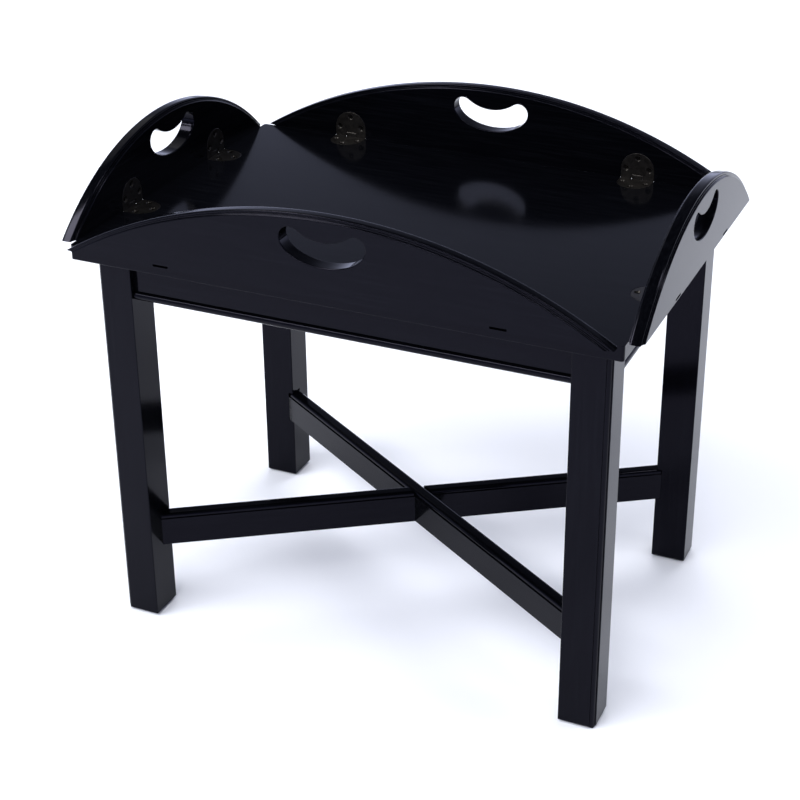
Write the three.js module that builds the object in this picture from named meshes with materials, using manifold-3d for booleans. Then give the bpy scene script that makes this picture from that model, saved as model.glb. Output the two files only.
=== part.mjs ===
// Butler coffee table: a loose tray with four hinged leaves, on a stand with crossed stretchers.
// Millimetres, +Z up. The origin is on the floor under the middle of the table, with the long side
// of the tray along X. The leaves are modelled raised, as they stand when the table is closed.
import * as THREE from "three";
import { mergeVertices } from "three/addons/utils/BufferGeometryUtils.js";
import Module from "manifold-3d";

const wasm = await Module();
wasm.setup();

// Tray board
const TABLE_HEIGHT = 450;
const TRAY_LENGTH = 588;
const TRAY_WIDTH = 412;
const TRAY_THICKNESS = 16;
const TRAY_ARRIS = 0.8;
const TRAY_CORNER_RADIUS = 3;

// Leaves: each is a segment of a disc with a moulded rim, so its ends run out to points
const LEAF_RISE = 83;
const LEAF_THICKNESS = 16;
const LEAF_END_INSET = 5;
const RIM_STEP_DEPTH = 4;
const RIM_STEP_WIDTH = 1.2;
const RIM_FILLET_WIDTH = 1.3;
const RIM_BAND_RISE = 2.6;

// Handle slot: a kidney with its two lobes turned up
const HANDLE_HALF_WIDTH = 45;
const HANDLE_LOBE_RADIUS = 11;
const HANDLE_DEPTH = 25;
const HANDLE_HEIGHT = 57;

// Leaf hinges: two D-shaped plates joined by a short cranked link on two pins
const LONG_LEAF_HINGE_OFFSET = 178;
const SHORT_LEAF_HINGE_OFFSET = 88;
const PLATE_HALF_WIDTH = 19.5;
const PLATE_REACH = 30.5;
const PLATE_THICKNESS = 2.5;
const PLATE_SETBACK = 0.25;
const SCREW_HOLE_RADIUS = 1.8;
const COUNTERSINK_RADIUS = 3.6;
const TIP_SCREW_REACH = 24.5;
const SIDE_SCREW_REACH = 12;
const SIDE_SCREW_OFFSET = 13.5;
const PIN_REACH = 3.6;
const PIN_RADIUS = 0.6;
const PIN_CLEARANCE = 0.25;
const LINK_EYE_RADIUS = 1.3;
const LINK_NECK = 1.5;
const LINK_HALF_WIDTH = 6.2;
const LUG_THICKNESS = 2.2;
const LUG_REACH = 1.5;
const LUG_DEPTH = 3.4;

// Mouth of a hinge's mortise, seen on the outer face of a leaf just above its foot
const MOUTH_HALF_WIDTH = 8.5;
const MOUTH_LIP = 1.2;
const MOUTH_HEIGHT = 2.4;

// Legs, set in from the ends and the sides of the tray
const END_OVERHANG = 16;
const SIDE_OVERHANG = 19;
const LEG_SIDE = 40;
const LEG_ARRIS = 0.9;
const LEG_BEAD_RADIUS = 4.4;
const LEG_BEAD_QUIRK = 1.3;
const LEG_FOOT_CHAMFER = 3;

// Aprons
const APRON_DEPTH = 45;
const APRON_THICKNESS = 18;
const APRON_SETBACK = 7;
const APRON_BEAD_HEIGHT = 9.5;
const APRON_BEAD_PROJECTION = 4;
const TENON_THICKNESS = 8;
const TENON_LENGTH = 17;
const TENON_TOP_SHOULDER = 6;
const TENON_BOTTOM_SHOULDER = 11;

// Crossed stretchers
const STRETCHER_TOP = 119;
const STRETCHER_HEIGHT = 38;
const STRETCHER_WIDTH = 18;
const STRETCHER_HOUSING = 15;
const STRETCHER_ROUND = 4;
const STRETCHER_STEP = 1.4;

// Corner blocks and the battens that keep the tray in place
const BLOCK_REACH = 44;
const BLOCK_HEIGHT = 28;
const BATTEN_WIDTH = 18;
const BATTEN_DEPTH = 14;
const BATTEN_ARRIS = 1;
const BATTEN_PLAY = 1;

// Fits
const JOINT_GAP = 0.3;
const OVERRUN = 4;

// Worked out from the sizes above
const TRAY_UNDERSIDE = TABLE_HEIGHT - TRAY_THICKNESS;
const LEG_HEIGHT = TRAY_UNDERSIDE - JOINT_GAP;
const LEG_X = TRAY_LENGTH / 2 - END_OVERHANG;
const LEG_Y = TRAY_WIDTH / 2 - SIDE_OVERHANG;
const APRON_TOP = LEG_HEIGHT;
const APRON_BOTTOM = APRON_TOP - APRON_DEPTH;
const APRON_INNER = APRON_SETBACK + APRON_THICKNESS;
const PIN_DEPTH = PIN_REACH * (Math.SQRT2 - 1);
const LINK_LENGTH = 2 * PIN_REACH;
const LINK_TRAVEL = 2 * Math.hypot(PIN_REACH, PIN_DEPTH) - LINK_LENGTH;
const LINK_FLOOR = Math.SQRT2 * LINK_EYE_RADIUS - PIN_REACH - LINK_NECK;
const NOTCH_HALF_WIDTH = LINK_HALF_WIDTH + JOINT_GAP;
const NOTCH_REACH = PIN_REACH + LINK_TRAVEL + LINK_EYE_RADIUS + JOINT_GAP;
const LUG_OUTER = NOTCH_HALF_WIDTH + LUG_THICKNESS;
const POCKET_HALF_WIDTH = LUG_OUTER + JOINT_GAP;
const POCKET_REACH = Math.max(PIN_REACH + LUG_REACH, NOTCH_REACH) + JOINT_GAP;
const POCKET_DEPTH = Math.max(LUG_DEPTH, PIN_DEPTH - LINK_FLOOR) + JOINT_GAP;

// How finely round shapes are cut
const RIM_STEPS = 26;
const BAND_STEPS = 6;
const PLATE_STEPS = 18;
const HOLE_STEPS = 9;
const PIN_STEPS = 8;
const ROUND_STEPS = 5;
const ARRIS_STEPS = 2;
const HANDLE_STEPS = 9;

const LACQUER = { color: 0x14151a, roughness: 0.35, metalness: 0 };
const BARE_WOOD = { color: 0x3a2c20, roughness: 0.8, metalness: 0 };
const BRONZE = { color: 0x5b5148, roughness: 0.45, metalness: 0.8 };

// Turns a closed geometry into a solid that can be joined and cut.
function solidOf(geometry) {
  const bare = geometry.clone();
  bare.deleteAttribute("normal");
  bare.deleteAttribute("uv");
  const merged = mergeVertices(bare);
  return new wasm.Manifold(
    new wasm.Mesh({
      numProp: 3,
      vertProperties: merged.attributes.position.array,
      triVerts: new Uint32Array(merged.index.array),
    }),
  );
}

// Turns a solid back into a geometry with flat faces.
function geometryOf(solid) {
  const mesh = solid.getMesh();
  const indexed = new THREE.BufferGeometry();
  indexed.setAttribute("position", new THREE.BufferAttribute(new Float32Array(mesh.vertProperties), 3));
  indexed.setIndex(new THREE.BufferAttribute(mesh.triVerts, 1));
  const flat = indexed.toNonIndexed();
  flat.computeVertexNormals();
  return flat;
}

// A shape drawn in X and Y, raised along Z from low to high.
function prism(shape, low, high, curveSegments = ROUND_STEPS) {
  const geometry = new THREE.ExtrudeGeometry(shape, {
    depth: high - low,
    bevelEnabled: false,
    curveSegments,
  });
  return geometry.translate(0, 0, low);
}

// A prism of the same kind with all its arrises eased by the same amount.
function easedPrism(shape, low, high, ease) {
  const geometry = new THREE.ExtrudeGeometry(shape, {
    depth: high - low - 2 * ease,
    bevelEnabled: true,
    bevelThickness: ease,
    bevelSize: ease,
    bevelOffset: -ease,
    bevelSegments: 3,
    curveSegments: ROUND_STEPS,
  });
  return geometry.translate(0, 0, low + ease);
}

function boxBetween(low, high) {
  const size = new THREE.Vector3().subVectors(high, low);
  const middle = new THREE.Vector3().addVectors(low, high).multiplyScalar(1 / 2);
  return new THREE.BoxGeometry(size.x, size.y, size.z).translate(middle.x, middle.y, middle.z);
}

function polygon(points) {
  return new THREE.Shape(points.map(([x, y]) => new THREE.Vector2(x, y)));
}

// Points of a round corner from one angle to another about a centre.
function arcPoints(x, y, radius, from, to, steps) {
  const points = [];
  for (let i = 0; i <= steps; i++) {
    const angle = from + ((to - from) * i) / steps;
    points.push([x + radius * Math.cos(angle), y + radius * Math.sin(angle)]);
  }
  return points;
}

function cutFrom(solid, cutters) {
  return cutters.reduce((left, cutter) => left.subtract(solidOf(cutter)), solid);
}

function namedMesh(name, geometry, look) {
  const mesh = new THREE.Mesh(geometry, new THREE.MeshStandardMaterial(look));
  mesh.name = name;
  return mesh;
}

const table = new THREE.Group();

// Corners of the stand, named by the way they face
const CORNERS = [
  { name: "front_left", x: -1, y: -1 },
  { name: "front_right", x: 1, y: -1 },
  { name: "back_left", x: -1, y: 1 },
  { name: "back_right", x: 1, y: 1 },
];

// A point measured inwards from the outer corner of a leg.
function fromCorner(corner, inX, inY) {
  return [corner.x * (LEG_X - inX), corner.y * (LEG_Y - inY)];
}

// A box measured inwards from the outer corner of a leg.
function cornerBox(corner, lowIn, highIn, low, high) {
  const [x1, y1] = fromCorner(corner, ...lowIn);
  const [x2, y2] = fromCorner(corner, ...highIn);
  return boxBetween(
    new THREE.Vector3(Math.min(x1, x2), Math.min(y1, y2), low),
    new THREE.Vector3(Math.max(x1, x2), Math.max(y1, y2), high),
  );
}

// Stretcher section: plain sides, and a step and a quarter round along both top edges.
function stretcherSection() {
  const half = STRETCHER_WIDTH / 2;
  const top = STRETCHER_TOP;
  const shoulder = half - STRETCHER_STEP;
  const roundX = shoulder - STRETCHER_ROUND;
  const roundZ = top - STRETCHER_ROUND;
  const right = arcPoints(roundX, roundZ, STRETCHER_ROUND, 0, Math.PI / 2, ROUND_STEPS);
  const outline = [
    [half, top - STRETCHER_HEIGHT],
    [half, roundZ - STRETCHER_STEP],
    [shoulder, roundZ - STRETCHER_STEP],
    ...right,
  ];
  const mirrored = outline.map(([x, z]) => [-x, z]).reverse();
  return polygon([...outline, ...mirrored]);
}

// The angle and the half length of a stretcher, from the middle of the table into a leg.
const legMiddleX = LEG_X - LEG_SIDE / 2;
const legMiddleY = LEG_Y - LEG_SIDE / 2;
const stretcherAngle = Math.atan2(legMiddleY, legMiddleX);
const innerCornerDistance = Math.hypot(LEG_X - LEG_SIDE, LEG_Y - LEG_SIDE);
const stretcherHalfLength = innerCornerDistance + STRETCHER_HOUSING;

// Lays an extrusion's section upright with its length along X, centred on the table's middle.
function alongX(shape, halfLength) {
  return prism(shape, -halfLength, halfLength).rotateX(Math.PI / 2).rotateZ(Math.PI / 2);
}

// A square bar round a stretcher with the joint gap on every side, for the cuts that house it.
function stretcherCutter(angle, low, high, halfLength) {
  const half = STRETCHER_WIDTH / 2 + JOINT_GAP;
  const size = new THREE.Vector3(halfLength, half, high);
  const opposite = new THREE.Vector3(-halfLength, -half, low);
  return boxBetween(opposite, size).rotateZ(angle);
}

// Leg section: square, with a quarter-round bead between two small steps on its outer corner.
function legSection(corner) {
  const start = LEG_BEAD_QUIRK + LEG_BEAD_RADIUS;
  const quarter = Math.PI / 2;
  const near = LEG_ARRIS;
  const far = LEG_SIDE - LEG_ARRIS;
  const points = [
    [start, 0],
    ...arcPoints(start, start, LEG_BEAD_RADIUS, -quarter, -2 * quarter, ROUND_STEPS),
    [0, start],
    ...arcPoints(near, far, LEG_ARRIS, 2 * quarter, quarter, ARRIS_STEPS),
    ...arcPoints(far, far, LEG_ARRIS, quarter, 0, ARRIS_STEPS),
    ...arcPoints(far, near, LEG_ARRIS, 0, -quarter, ARRIS_STEPS),
  ];
  return polygon(points.map(([inX, inY]) => fromCorner(corner, inX, inY)));
}

// The space that a leg is turned down to at its foot, with the top chamfer above the leg.
function legFootEnvelope(corner) {
  const square = polygon([
    fromCorner(corner, 0, 0),
    fromCorner(corner, 0, LEG_SIDE),
    fromCorner(corner, LEG_SIDE, LEG_SIDE),
    fromCorner(corner, LEG_SIDE, 0),
  ]);
  const geometry = new THREE.ExtrudeGeometry(square, {
    depth: LEG_HEIGHT,
    bevelEnabled: true,
    bevelThickness: LEG_FOOT_CHAMFER,
    bevelSize: LEG_FOOT_CHAMFER,
    bevelOffset: -LEG_FOOT_CHAMFER,
    bevelSegments: 1,
  });
  return geometry.translate(0, 0, LEG_FOOT_CHAMFER);
}

// Where the tenon of an apron stands, measured inwards from the outer face of the leg.
const tenonOuter = APRON_SETBACK + (APRON_THICKNESS - TENON_THICKNESS) / 2;
const tenonInner = tenonOuter + TENON_THICKNESS;
const tenonLow = APRON_BOTTOM + TENON_BOTTOM_SHOULDER;
const tenonHigh = APRON_TOP - TENON_TOP_SHOULDER;

function mortises(corner) {
  const near = LEG_SIDE - TENON_LENGTH - JOINT_GAP;
  const far = LEG_SIDE + OVERRUN;
  const outer = tenonOuter - JOINT_GAP;
  const inner = tenonInner + JOINT_GAP;
  const low = tenonLow - JOINT_GAP;
  const high = tenonHigh + JOINT_GAP;
  return [
    cornerBox(corner, [near, outer], [far, inner], low, high),
    cornerBox(corner, [outer, near], [inner, far], low, high),
  ];
}

for (const corner of CORNERS) {
  const blank = solidOf(prism(legSection(corner), 0, LEG_HEIGHT));
  const turned = blank.intersect(solidOf(legFootEnvelope(corner)));
  const housing = stretcherCutter(
    corner.x * corner.y * stretcherAngle,
    STRETCHER_TOP - STRETCHER_HEIGHT - JOINT_GAP,
    STRETCHER_TOP + JOINT_GAP,
    stretcherHalfLength + JOINT_GAP,
  );
  const leg = cutFrom(turned, [...mortises(corner), housing]);
  table.add(namedMesh("leg_" + corner.name, geometryOf(leg), LACQUER));
}

// The stretchers cross in a halving joint: the upper one is notched from below.
const STRETCHERS = [
  { name: "stretcher_upper", turn: -1, low: -OVERRUN, high: STRETCHER_HEIGHT / 2 + JOINT_GAP / 2 },
  {
    name: "stretcher_lower",
    turn: 1,
    low: STRETCHER_HEIGHT / 2 - JOINT_GAP / 2,
    high: STRETCHER_HEIGHT + OVERRUN,
  },
];
for (const { name, turn, low, high } of STRETCHERS) {
  const bar = solidOf(alongX(stretcherSection(), stretcherHalfLength).rotateZ(turn * stretcherAngle));
  const base = STRETCHER_TOP - STRETCHER_HEIGHT;
  const notch = stretcherCutter(-turn * stretcherAngle, base + low, base + high, 2 * STRETCHER_WIDTH);
  table.add(namedMesh(name, geometryOf(cutFrom(bar, [notch])), LACQUER));
}

// The four sides of the table. Each is drawn as the front side and turned about Z.
const SIDES = [
  { name: "front", turn: 0, ends: ["left", "right"], long: true },
  { name: "right", turn: Math.PI / 2, ends: ["front", "back"], long: false },
  { name: "back", turn: Math.PI, ends: ["right", "left"], long: true },
  { name: "left", turn: -Math.PI / 2, ends: ["back", "front"], long: false },
];

// Apron section with X outwards: a plain board with a half-round bead along its lower edge.
function apronSection() {
  const beadRadius = APRON_BEAD_HEIGHT / 2;
  const beadX = APRON_BEAD_PROJECTION - beadRadius;
  const beadZ = APRON_BOTTOM + beadRadius;
  const nose = arcPoints(beadX, beadZ, beadRadius, -Math.PI / 2, Math.PI / 2, 2 * ROUND_STEPS);
  const onFace = nose.filter(([x]) => x > 0);
  return polygon([
    [-APRON_THICKNESS, APRON_BOTTOM],
    [0, APRON_BOTTOM],
    ...onFace,
    [0, beadZ + beadRadius],
    [0, APRON_TOP],
    [-APRON_THICKNESS, APRON_TOP],
  ]);
}

for (const side of SIDES) {
  const faceDistance = (side.long ? LEG_Y : LEG_X) - APRON_SETBACK;
  const halfLength = (side.long ? LEG_X : LEG_Y) - LEG_SIDE - JOINT_GAP;
  const reach = halfLength + JOINT_GAP + TENON_LENGTH;
  const board = alongX(apronSection(), halfLength).rotateZ(Math.PI);
  const outer = (APRON_THICKNESS - TENON_THICKNESS) / 2;
  const tenons = boxBetween(
    new THREE.Vector3(-reach, outer, tenonLow),
    new THREE.Vector3(reach, outer + TENON_THICKNESS, tenonHigh),
  );
  const solid = solidOf(board).add(solidOf(tenons));
  const apron = namedMesh("apron_" + side.name, geometryOf(solid), LACQUER);
  apron.position.y = -faceDistance;
  const group = new THREE.Group();
  group.rotation.z = side.turn;
  group.add(apron);
  table.add(group);
}

// Glue blocks behind the legs, fitted round the leg's inner corner.
for (const corner of CORNERS) {
  const seat = APRON_INNER + JOINT_GAP;
  const leg = LEG_SIDE + JOINT_GAP;
  const reach = leg + BLOCK_REACH;
  const shape = polygon(
    [
      [leg, seat],
      [reach, seat],
      [seat, reach],
      [seat, leg],
      [leg, leg],
    ].map(([inX, inY]) => fromCorner(corner, inX, inY)),
  );
  const geometry = prism(shape, APRON_TOP - BLOCK_HEIGHT, APRON_TOP);
  table.add(namedMesh("corner_block_" + corner.name, geometry, BARE_WOOD));
}

// A hinge plate seen from its face: U along the fold, W away from it, N out of the face. Its sides
// are straight and its far end is a half circle.
function plateOutline(grow, notched) {
  const half = PLATE_HALF_WIDTH + grow;
  const shape = new THREE.Shape();
  const start = notched ? PLATE_SETBACK : -OVERRUN;
  shape.moveTo(-half, start);
  if (notched) {
    shape.lineTo(-NOTCH_HALF_WIDTH, start);
    shape.lineTo(-NOTCH_HALF_WIDTH, NOTCH_REACH);
    shape.lineTo(NOTCH_HALF_WIDTH, NOTCH_REACH);
    shape.lineTo(NOTCH_HALF_WIDTH, start);
  }
  shape.lineTo(half, start);
  const round = arcPoints(0, PLATE_REACH - PLATE_HALF_WIDTH, half, 0, Math.PI, PLATE_STEPS);
  round.forEach(([u, w]) => shape.lineTo(u, w));
  return shape;
}

const SCREW_PLACES = [
  [0, TIP_SCREW_REACH],
  [-SIDE_SCREW_OFFSET, SIDE_SCREW_REACH],
  [SIDE_SCREW_OFFSET, SIDE_SCREW_REACH],
];

// A countersunk hole: a cone from the face down to the bore, then straight through.
function screwCutter(u, w) {
  const slope = COUNTERSINK_RADIUS - SCREW_HOLE_RADIUS;
  const profile = [
    [0, -PLATE_THICKNESS - OVERRUN],
    [SCREW_HOLE_RADIUS, -PLATE_THICKNESS - OVERRUN],
    [SCREW_HOLE_RADIUS, -slope],
    [COUNTERSINK_RADIUS + OVERRUN, OVERRUN],
    [0, OVERRUN],
  ].map(([x, y]) => new THREE.Vector2(x, y));
  return new THREE.LatheGeometry(profile, HOLE_STEPS).rotateX(Math.PI / 2).translate(u, w, 0);
}

// One half of a hinge: the plate, two lugs under it beside the notch, and the pin between them.
function hingeHalf() {
  const plate = solidOf(prism(plateOutline(0, true), -PLATE_THICKNESS, 0));
  const drilled = cutFrom(plate, SCREW_PLACES.map(([u, w]) => screwCutter(u, w)));
  const lugs = [-1, 1].map((hand) => {
    const inner = hand * NOTCH_HALF_WIDTH;
    const outer = hand * LUG_OUTER;
    return boxBetween(
      new THREE.Vector3(Math.min(inner, outer), PIN_REACH - LUG_REACH, -LUG_DEPTH),
      new THREE.Vector3(Math.max(inner, outer), PIN_REACH + LUG_REACH, -PLATE_THICKNESS / 2),
    );
  });
  const pin = new THREE.CylinderGeometry(PIN_RADIUS, PIN_RADIUS, LUG_OUTER + NOTCH_HALF_WIDTH, PIN_STEPS)
    .rotateZ(Math.PI / 2)
    .translate(0, PIN_REACH, -PIN_DEPTH);
  return [...lugs, pin].reduce((whole, piece) => whole.add(solidOf(piece)), drilled);
}

// What is cut away for one half of a hinge: the plate's recess, and the deeper pocket at the fold.
function hingeCutters() {
  const recess = prism(plateOutline(JOINT_GAP, false), -PLATE_THICKNESS - JOINT_GAP, OVERRUN);
  const pocket = boxBetween(
    new THREE.Vector3(-POCKET_HALF_WIDTH, -OVERRUN, -POCKET_DEPTH),
    new THREE.Vector3(POCKET_HALF_WIDTH, POCKET_REACH, OVERRUN),
  );
  return [recess, pocket];
}

// The link, with its pins along X from the tray's pin. It is cranked, so that with the leaf raised
// its two arms lie just under the faces of the two plates, and its neck passes outside the fold.
// Its far hole is a slot, because the two pins part a little half way through the fold.
function hingeLink() {
  const far = LINK_LENGTH + LINK_TRAVEL;
  const half = Math.PI / 2;
  const eighth = Math.PI / 4;
  const tangent = Math.SQRT2 * LINK_EYE_RADIUS;
  const shape = polygon([
    ...arcPoints(0, 0, LINK_EYE_RADIUS, eighth, 5 * eighth, PIN_STEPS),
    [-tangent - LINK_FLOOR, LINK_FLOOR],
    [far + tangent + LINK_FLOOR, LINK_FLOOR],
    ...arcPoints(far, 0, LINK_EYE_RADIUS, -eighth, 2 * eighth, PIN_STEPS),
    ...arcPoints(LINK_LENGTH, 0, LINK_EYE_RADIUS, 2 * eighth, 3 * eighth, ARRIS_STEPS),
    [PIN_REACH, LINK_FLOOR + LINK_NECK],
  ]);
  const hole = PIN_RADIUS + PIN_CLEARANCE;
  const eye = arcPoints(0, 0, hole, 0, 4 * half, PIN_STEPS).slice(1);
  const slot = [
    ...arcPoints(LINK_LENGTH, 0, hole, half, 3 * half, PIN_STEPS / 2),
    ...arcPoints(far, 0, hole, -half, half, PIN_STEPS / 2),
  ];
  shape.holes = [polygon(eye), polygon(slot)];
  return prism(shape, -LINK_HALF_WIDTH, LINK_HALF_WIDTH);
}

// Where the fold of a side lies: its distance from the middle and half the length of its leaf.
function foldOf(side) {
  const distance = (side.long ? TRAY_WIDTH : TRAY_LENGTH) / 2;
  const halfChord = (side.long ? TRAY_LENGTH : TRAY_WIDTH) / 2 - LEAF_END_INSET;
  const hingeOffset = side.long ? LONG_LEAF_HINGE_OFFSET : SHORT_LEAF_HINGE_OFFSET;
  return { distance, halfChord, hingeOffset };
}

// Rim section from the disc's axis outwards and back, with N from the outer face to the inner one.
function rimSection(radius) {
  const ledge = radius - RIM_BAND_RISE;
  const wall = radius - RIM_STEP_DEPTH;
  const lowBand = -LEAF_THICKNESS + RIM_STEP_WIDTH + RIM_FILLET_WIDTH;
  const highBand = -RIM_STEP_WIDTH - RIM_FILLET_WIDTH;
  const band = [];
  for (let i = 0; i <= BAND_STEPS; i++) {
    const turn = (Math.PI * i) / BAND_STEPS;
    const middle = (lowBand + highBand) / 2;
    band.push([ledge + RIM_BAND_RISE * Math.sin(turn), middle - ((highBand - lowBand) / 2) * Math.cos(turn)]);
  }
  return [
    [0, -LEAF_THICKNESS],
    [wall, -LEAF_THICKNESS],
    [wall, -LEAF_THICKNESS + RIM_STEP_WIDTH],
    [ledge, -LEAF_THICKNESS + RIM_STEP_WIDTH],
    ...band,
    [ledge, -RIM_STEP_WIDTH],
    [wall, -RIM_STEP_WIDTH],
    [wall, 0],
    [0, 0],
  ].map(([x, y]) => new THREE.Vector2(x, y));
}

// The kidney slot: half an ellipse below, a lobe at each end and a hollow arc between the lobes.
function handleShape() {
  const lobeX = HANDLE_HALF_WIDTH - HANDLE_LOBE_RADIUS;
  const hollow = (lobeX ** 2 - HANDLE_LOBE_RADIUS ** 2) / (2 * HANDLE_LOBE_RADIUS);
  const lean = Math.atan2(hollow, lobeX);
  const lower = [];
  for (let i = 0; i <= 2 * HANDLE_STEPS; i++) {
    const angle = Math.PI + (Math.PI * i) / (2 * HANDLE_STEPS);
    lower.push([HANDLE_HALF_WIDTH * Math.cos(angle), HANDLE_HEIGHT + HANDLE_DEPTH * Math.sin(angle)]);
  }
  const rightLobe = arcPoints(lobeX, HANDLE_HEIGHT, HANDLE_LOBE_RADIUS, 0, Math.PI - lean, HANDLE_STEPS);
  const top = arcPoints(0, HANDLE_HEIGHT + hollow, hollow, -lean, lean - Math.PI, HANDLE_STEPS);
  const leftLobe = arcPoints(-lobeX, HANDLE_HEIGHT, HANDLE_LOBE_RADIUS, lean, Math.PI, HANDLE_STEPS);
  return polygon([...lower, ...rightLobe.slice(1), ...top.slice(1), ...leftLobe.slice(1, -1)]);
}

// A leaf with U along the fold, V up from it and N towards the tray, the inner face at N = 0.
function leafSolid({ halfChord, hingeOffset }) {
  const radius = (halfChord ** 2 + LEAF_RISE ** 2) / (2 * LEAF_RISE);
  const halfAngle = Math.asin(halfChord / radius);
  const steps = 2 * Math.ceil((RIM_STEPS * Math.PI) / (2 * halfAngle));
  const disc = new THREE.LatheGeometry(rimSection(radius), steps).rotateX(Math.PI / 2);
  disc.translate(0, LEAF_RISE - radius, 0);
  const keep = boxBetween(
    new THREE.Vector3(-halfChord, JOINT_GAP, -LEAF_THICKNESS - OVERRUN),
    new THREE.Vector3(halfChord, LEAF_RISE + OVERRUN, OVERRUN),
  );
  const blank = solidOf(disc).intersect(solidOf(keep));
  const slot = prism(handleShape(), -LEAF_THICKNESS - OVERRUN, OVERRUN);
  const mouth = boxBetween(
    new THREE.Vector3(-MOUTH_HALF_WIDTH, MOUTH_LIP, -LEAF_THICKNESS - OVERRUN),
    new THREE.Vector3(MOUTH_HALF_WIDTH, MOUTH_LIP + MOUTH_HEIGHT, -PLATE_THICKNESS),
  );
  const hinges = [-1, 1].flatMap((hand) =>
    [mouth.clone(), ...hingeCutters()].map((cutter) => cutter.translate(hand * hingeOffset, 0, 0)),
  );
  return cutFrom(blank, [slot, ...hinges]);
}

// Tray board with the recesses of all eight hinges.
const trayHalfLength = TRAY_LENGTH / 2;
const trayHalfWidth = TRAY_WIDTH / 2;

function roundedRectangle(halfX, halfY, radius) {
  const right = halfX - radius;
  const back = halfY - radius;
  const quarter = Math.PI / 2;
  return polygon([
    ...arcPoints(right, back, radius, 0, quarter, ROUND_STEPS),
    ...arcPoints(-right, back, radius, quarter, 2 * quarter, ROUND_STEPS),
    ...arcPoints(-right, -back, radius, 2 * quarter, 3 * quarter, ROUND_STEPS),
    ...arcPoints(right, -back, radius, 3 * quarter, 4 * quarter, ROUND_STEPS),
  ]);
}

const trayCutters = SIDES.flatMap((side) => {
  const { distance, hingeOffset } = foldOf(side);
  return [-1, 1].flatMap((hand) =>
    hingeCutters().map((cutter) =>
      cutter.translate(hand * hingeOffset, -distance, TABLE_HEIGHT).rotateZ(side.turn),
    ),
  );
});
const trayBlank = easedPrism(
  roundedRectangle(trayHalfLength, trayHalfWidth, TRAY_CORNER_RADIUS),
  TRAY_UNDERSIDE,
  TABLE_HEIGHT,
  TRAY_ARRIS,
);
table.add(namedMesh("tray_board", geometryOf(cutFrom(solidOf(trayBlank), trayCutters)), LACQUER));

// Battens under the tray, inside the front and back aprons and between the corner blocks.
const battenHalfLength = LEG_X - LEG_SIDE - JOINT_GAP - BLOCK_REACH - BATTEN_PLAY;
const battenOuter = LEG_Y - APRON_INNER - BATTEN_PLAY;
for (const [name, turn] of [
  ["tray_batten_front", 0],
  ["tray_batten_back", Math.PI],
]) {
  const shape = polygon([
    [-battenHalfLength, -battenOuter],
    [battenHalfLength, -battenOuter],
    [battenHalfLength, BATTEN_WIDTH - battenOuter],
    [-battenHalfLength, BATTEN_WIDTH - battenOuter],
  ]);
  const top = TRAY_UNDERSIDE - JOINT_GAP;
  const batten = namedMesh(name, easedPrism(shape, top - BATTEN_DEPTH, top, BATTEN_ARRIS), BARE_WOOD);
  batten.rotation.z = turn;
  table.add(batten);
}

// Leaves and hinges, side by side round the tray.
const halfHinge = geometryOf(hingeHalf());
const link = hingeLink();
for (const side of SIDES) {
  const fold = foldOf(side);
  const group = new THREE.Group();
  group.rotation.z = side.turn;
  const foldLine = new THREE.Group();
  foldLine.position.set(0, -fold.distance, TABLE_HEIGHT);
  // A leaf's frame stands on the fold, with U towards -X, V up and N towards the tray.
  const upright = new THREE.Group();
  upright.rotation.set(Math.PI / 2, Math.PI, 0);
  upright.add(namedMesh("leaf_" + side.name, geometryOf(leafSolid(fold)), LACQUER));
  foldLine.add(upright);
  for (const [index, end] of side.ends.entries()) {
    const place = (2 * index - 1) * fold.hingeOffset;
    const name = "hinge_" + side.name + "_" + end;
    const trayPlate = namedMesh(name + "_tray_plate", halfHinge, BRONZE);
    trayPlate.position.x = place;
    foldLine.add(trayPlate);
    const leafPlate = namedMesh(name + "_leaf_plate", halfHinge, BRONZE);
    leafPlate.position.x = -place;
    upright.add(leafPlate);
    // The link starts at the tray's pin and leans outwards and up at half a right angle.
    const seat = new THREE.Group();
    seat.position.set(place, PIN_REACH, -PIN_DEPTH);
    seat.rotation.y = -Math.PI / 2;
    const linkMesh = namedMesh(name + "_link", link, BRONZE);
    linkMesh.rotation.z = -Math.PI / 4;
    seat.add(linkMesh);
    foldLine.add(seat);
  }
  group.add(foldLine);
  table.add(group);
}

export default table;
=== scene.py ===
import math

import bmesh
import bpy
from mathutils import Matrix, Vector


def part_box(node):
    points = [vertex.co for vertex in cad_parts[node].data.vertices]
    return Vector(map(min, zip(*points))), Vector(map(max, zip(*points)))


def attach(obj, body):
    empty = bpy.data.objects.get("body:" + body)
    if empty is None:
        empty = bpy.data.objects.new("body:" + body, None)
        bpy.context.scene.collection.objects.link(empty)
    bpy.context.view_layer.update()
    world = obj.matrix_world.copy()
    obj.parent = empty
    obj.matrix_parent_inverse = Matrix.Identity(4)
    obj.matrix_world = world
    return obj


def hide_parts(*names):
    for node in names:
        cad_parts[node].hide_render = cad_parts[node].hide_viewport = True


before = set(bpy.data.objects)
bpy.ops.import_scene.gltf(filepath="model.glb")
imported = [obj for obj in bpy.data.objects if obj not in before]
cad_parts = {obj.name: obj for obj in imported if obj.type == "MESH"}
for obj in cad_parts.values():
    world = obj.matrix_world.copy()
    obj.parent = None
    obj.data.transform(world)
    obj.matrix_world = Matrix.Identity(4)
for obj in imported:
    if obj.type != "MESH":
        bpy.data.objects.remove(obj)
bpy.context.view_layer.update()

# Butler coffee table: black lacquered wood and antique bronze hinges, dressed round the fixed frame.
# Metres, +Z up. Sizes that the frame holds are read from it, and the rest are named here.
MM = 0.001

# Camera, solved from the corners of the table in the photograph
CAMERA_PLACE = Vector((0.67994, -1.53115, 1.12760))
CAMERA_YAW = math.radians(-21.647)
CAMERA_PITCH = math.radians(25.415)
CAMERA_ROLL = math.radians(0.754)
CAMERA_LENS = 76.81
CAMERA_SENSOR = 36
CAMERA_SHIFT = (-0.1, -0.1)

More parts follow.
